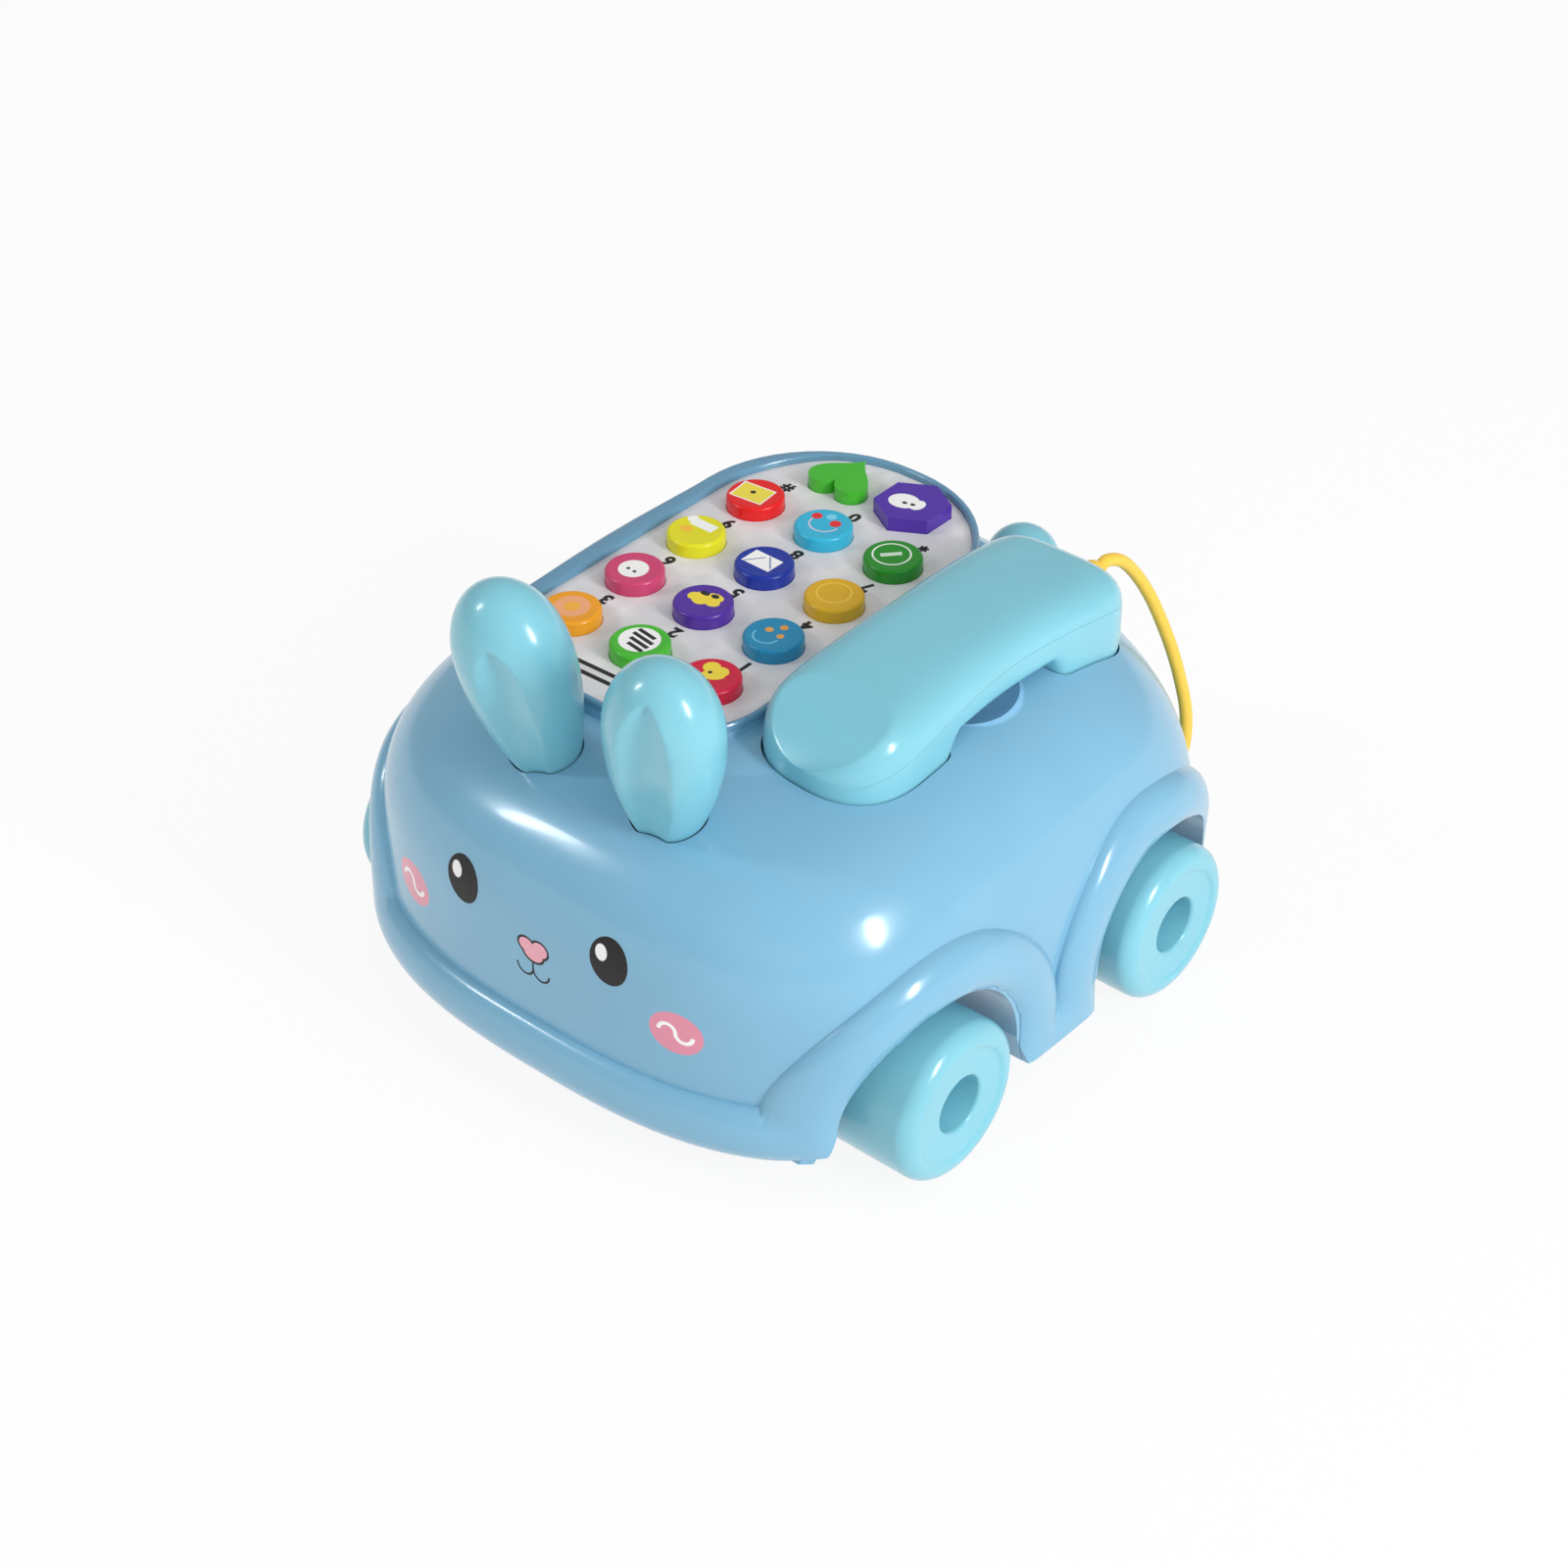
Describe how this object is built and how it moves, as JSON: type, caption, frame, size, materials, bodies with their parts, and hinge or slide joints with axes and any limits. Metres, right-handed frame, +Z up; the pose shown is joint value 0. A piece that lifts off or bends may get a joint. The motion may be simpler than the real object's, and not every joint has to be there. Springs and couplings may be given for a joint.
{
  "type": "toy telephone",
  "caption": "Toy telephone shaped as a small rabbit car: a domed body on wheels, a keypad of sprung buttons and a corded handset in a cradle.",
  "frame": {"origin": "middle of the bounding box on the floor under the wheels, without the cord", "axes": "+X towards the handset's side, -Y towards the face, +Z up"},
  "size_m": [0.1924, 0.213, 0.1389],
  "materials": {
    "body_blue": "glossy",
    "plate": "satin",
    "membrane": "matt",
    "board": "satin",
    "key_1": "glossy",
    "key_2": "glossy",
    "key_3": "glossy",
    "key_4": "glossy",
    "key_5": "glossy",
    "key_6": "glossy",
    "key_7": "glossy",
    "key_8": "glossy",
    "key_9": "glossy",
    "key_star": "glossy",
    "key_0": "glossy",
    "key_hash": "glossy",
    "key_heart": "glossy",
    "key_hexagon": "glossy",
    "aqua": "glossy",
    "steel": "satin",
    "dark": "satin",
    "cells": "satin",
    "contacts": "satin",
    "cord_yellow": "satin"
  },
  "bodies": {
    "phone": {"upper_shell": "body_blue", "lower_shell": "body_blue", "keypad_plate": "plate", "button_membrane": "membrane", "circuit_board": "board", "ear_left": "aqua", "ear_right": "aqua", "tail": "aqua", "speaker": "dark", "speaker_ring": "dark", "battery_door": "body_blue", "door_screw": "steel", "batteries": "cells", "battery_contacts": "contacts", "base_screws": "steel", "cord_gland": "cord_yellow", "handset_cord": "cord_yellow"},
    "handset": {"handset_upper": "aqua", "handset_lower": "aqua", "handset_screws": "steel", "handset_grommet": "cord_yellow"},
    "front_wheels": {"front_axle": "steel", "wheel_front_left": "aqua", "wheel_front_right": "aqua"},
    "rear_wheels": {"rear_axle": "steel", "wheel_rear_left": "aqua", "wheel_rear_right": "aqua"},
    "switch_knob": {"power_switch": "dark"},
    "key_1": {"button_1": "key_1"},
    "key_2": {"button_2": "key_2"},
    "key_3": {"button_3": "key_3"},
    "key_4": {"button_4": "key_4"},
    "key_5": {"button_5": "key_5"},
    "key_6": {"button_6": "key_6"},
    "key_7": {"button_7": "key_7"},
    "key_8": {"button_8": "key_8"},
    "key_9": {"button_9": "key_9"},
    "key_star": {"button_star": "key_star"},
    "key_0": {"button_0": "key_0"},
    "key_hash": {"button_hash": "key_hash"},
    "key_heart": {"button_heart": "key_heart"},
    "key_hexagon": {"button_hexagon": "key_hexagon"}
  },
  "joints": [
    {"name": "handset_lift", "type": "slide", "parent": "phone", "child": "handset", "axis": [0, 0, 1], "range_m": [0, 0.06], "deforming": ["handset_cord"]},
    {"name": "front_wheel_spin", "type": "hinge", "parent": "phone", "child": "front_wheels", "pos_m": [0, -0.052, 0.0221], "axis": [1, 0, 0], "continuous": true},
    {"name": "rear_wheel_spin", "type": "hinge", "parent": "phone", "child": "rear_wheels", "pos_m": [0, 0.04, 0.0221], "axis": [1, 0, 0], "continuous": true},
    {"name": "power_switch_slide", "type": "slide", "parent": "phone", "child": "switch_knob", "axis": [1, 0, 0], "range_m": [0, 0.004]},
    {"name": "key_1_press", "type": "slide", "parent": "phone", "child": "key_1", "axis": [0, 0, -1], "range_m": [0, 0.0018], "stiffness_N_per_m": 600, "springref_m": -0.0004},
    {"name": "key_2_press", "type": "slide", "parent": "phone", "child": "key_2", "axis": [0, 0, -1], "range_m": [0, 0.0018], "stiffness_N_per_m": 600, "springref_m": -0.0004},
    {"name": "key_3_press", "type": "slide", "parent": "phone", "child": "key_3", "axis": [0, 0, -1], "range_m": [0, 0.0018], "stiffness_N_per_m": 600, "springref_m": -0.0004},
    {"name": "key_4_press", "type": "slide", "parent": "phone", "child": "key_4", "axis": [0, 0, -1], "range_m": [0, 0.0018], "stiffness_N_per_m": 600, "springref_m": -0.0004},
    {"name": "key_5_press", "type": "slide", "parent": "phone", "child": "key_5", "axis": [0, 0, -1], "range_m": [0, 0.0018], "stiffness_N_per_m": 600, "springref_m": -0.0004},
    {"name": "key_6_press", "type": "slide", "parent": "phone", "child": "key_6", "axis": [0, 0, -1], "range_m": [0, 0.0018], "stiffness_N_per_m": 600, "springref_m": -0.0004},
    {"name": "key_7_press", "type": "slide", "parent": "phone", "child": "key_7", "axis": [0, 0, -1], "range_m": [0, 0.0018], "stiffness_N_per_m": 600, "springref_m": -0.0004},
    {"name": "key_8_press", "type": "slide", "parent": "phone", "child": "key_8", "axis": [0, 0, -1], "range_m": [0, 0.0018], "stiffness_N_per_m": 600, "springref_m": -0.0004},
    {"name": "key_9_press", "type": "slide", "parent": "phone", "child": "key_9", "axis": [0, 0, -1], "range_m": [0, 0.0018], "stiffness_N_per_m": 600, "springref_m": -0.0004},
    {"name": "key_star_press", "type": "slide", "parent": "phone", "child": "key_star", "axis": [0, 0, -1], "range_m": [0, 0.0018], "stiffness_N_per_m": 600, "springref_m": -0.0004},
    {"name": "key_0_press", "type": "slide", "parent": "phone", "child": "key_0", "axis": [0, 0, -1], "range_m": [0, 0.0018], "stiffness_N_per_m": 600, "springref_m": -0.0004},
    {"name": "key_hash_press", "type": "slide", "parent": "phone", "child": "key_hash", "axis": [0, 0, -1], "range_m": [0, 0.0018], "stiffness_N_per_m": 600, "springref_m": -0.0004},
    {"name": "key_heart_press", "type": "slide", "parent": "phone", "child": "key_heart", "axis": [0, 0, -1], "range_m": [0, 0.0018], "stiffness_N_per_m": 600, "springref_m": -0.0004},
    {"name": "key_hexagon_press", "type": "slide", "parent": "phone", "child": "key_hexagon", "axis": [0, 0, -1], "range_m": [0, 0.0018], "stiffness_N_per_m": 600, "springref_m": -0.0004}
  ]
}
